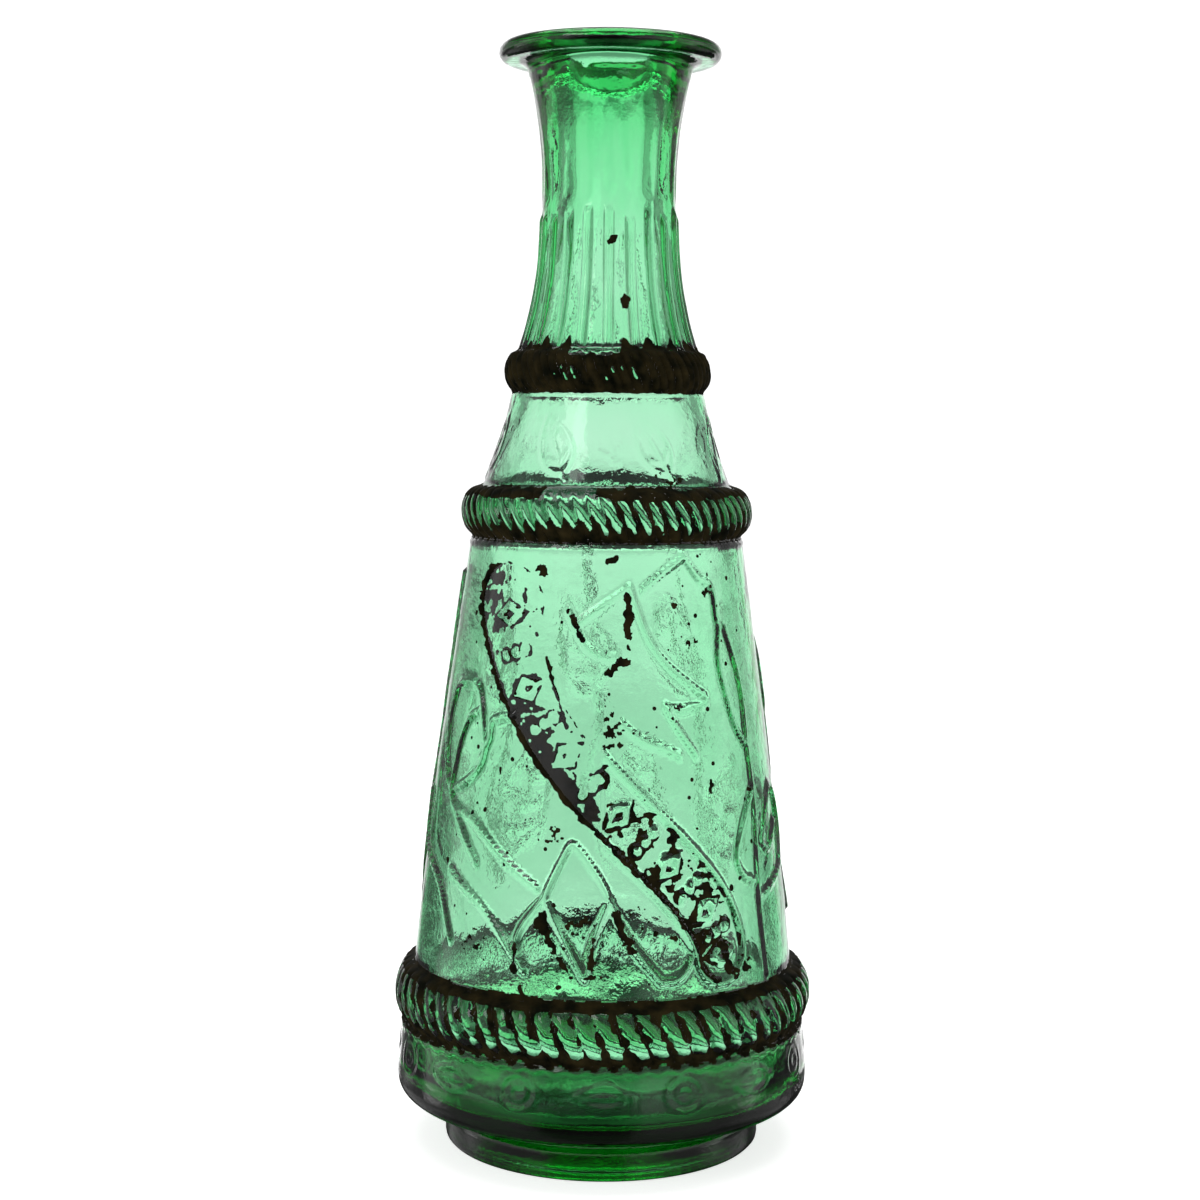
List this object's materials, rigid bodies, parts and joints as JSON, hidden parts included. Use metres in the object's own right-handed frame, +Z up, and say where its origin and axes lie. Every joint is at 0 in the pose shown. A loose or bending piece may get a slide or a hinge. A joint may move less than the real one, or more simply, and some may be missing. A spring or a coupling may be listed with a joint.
{
  "type": "glass bottle",
  "caption": "Tapered green glass bottle with rope-moulded bands, a reeded neck, a flat flared lip, a raised slanting banner and worn dark paint.",
  "frame": {"origin": "centre of the foot ring's resting face, on the bottle's axis", "axes": "+Z up along the bottle's axis, towards the lip; -Y is the front, where the banner is; +X is to the right seen from the front"},
  "size_m": [0.1088, 0.1088, 0.282],
  "materials": {
    "green_glass": "clear green moulded glass, fire-polished",
    "dark_paint": "worn dark brown oil paint on glass"
  },
  "bodies": {
    "root": {"foot_ring": "green_glass", "base_plate": "green_glass", "base_band": "green_glass", "base_rope_band": "green_glass", "body_cone": "green_glass", "shoulder_rope_band": "green_glass", "shoulder_cone": "green_glass", "neck_rope_band": "green_glass", "reeded_neck": "green_glass", "throat": "green_glass", "lip": "green_glass", "banner_frame": "green_glass", "banner_ornament": "green_glass", "front_leaves": "green_glass", "back_leaves": "green_glass", "shoulder_leaves": "green_glass", "base_medallions": "green_glass", "neck_band_paint": "dark_paint", "shoulder_band_paint": "dark_paint", "base_band_paint": "dark_paint", "banner_paint": "dark_paint"}
  },
  "joints": []
}
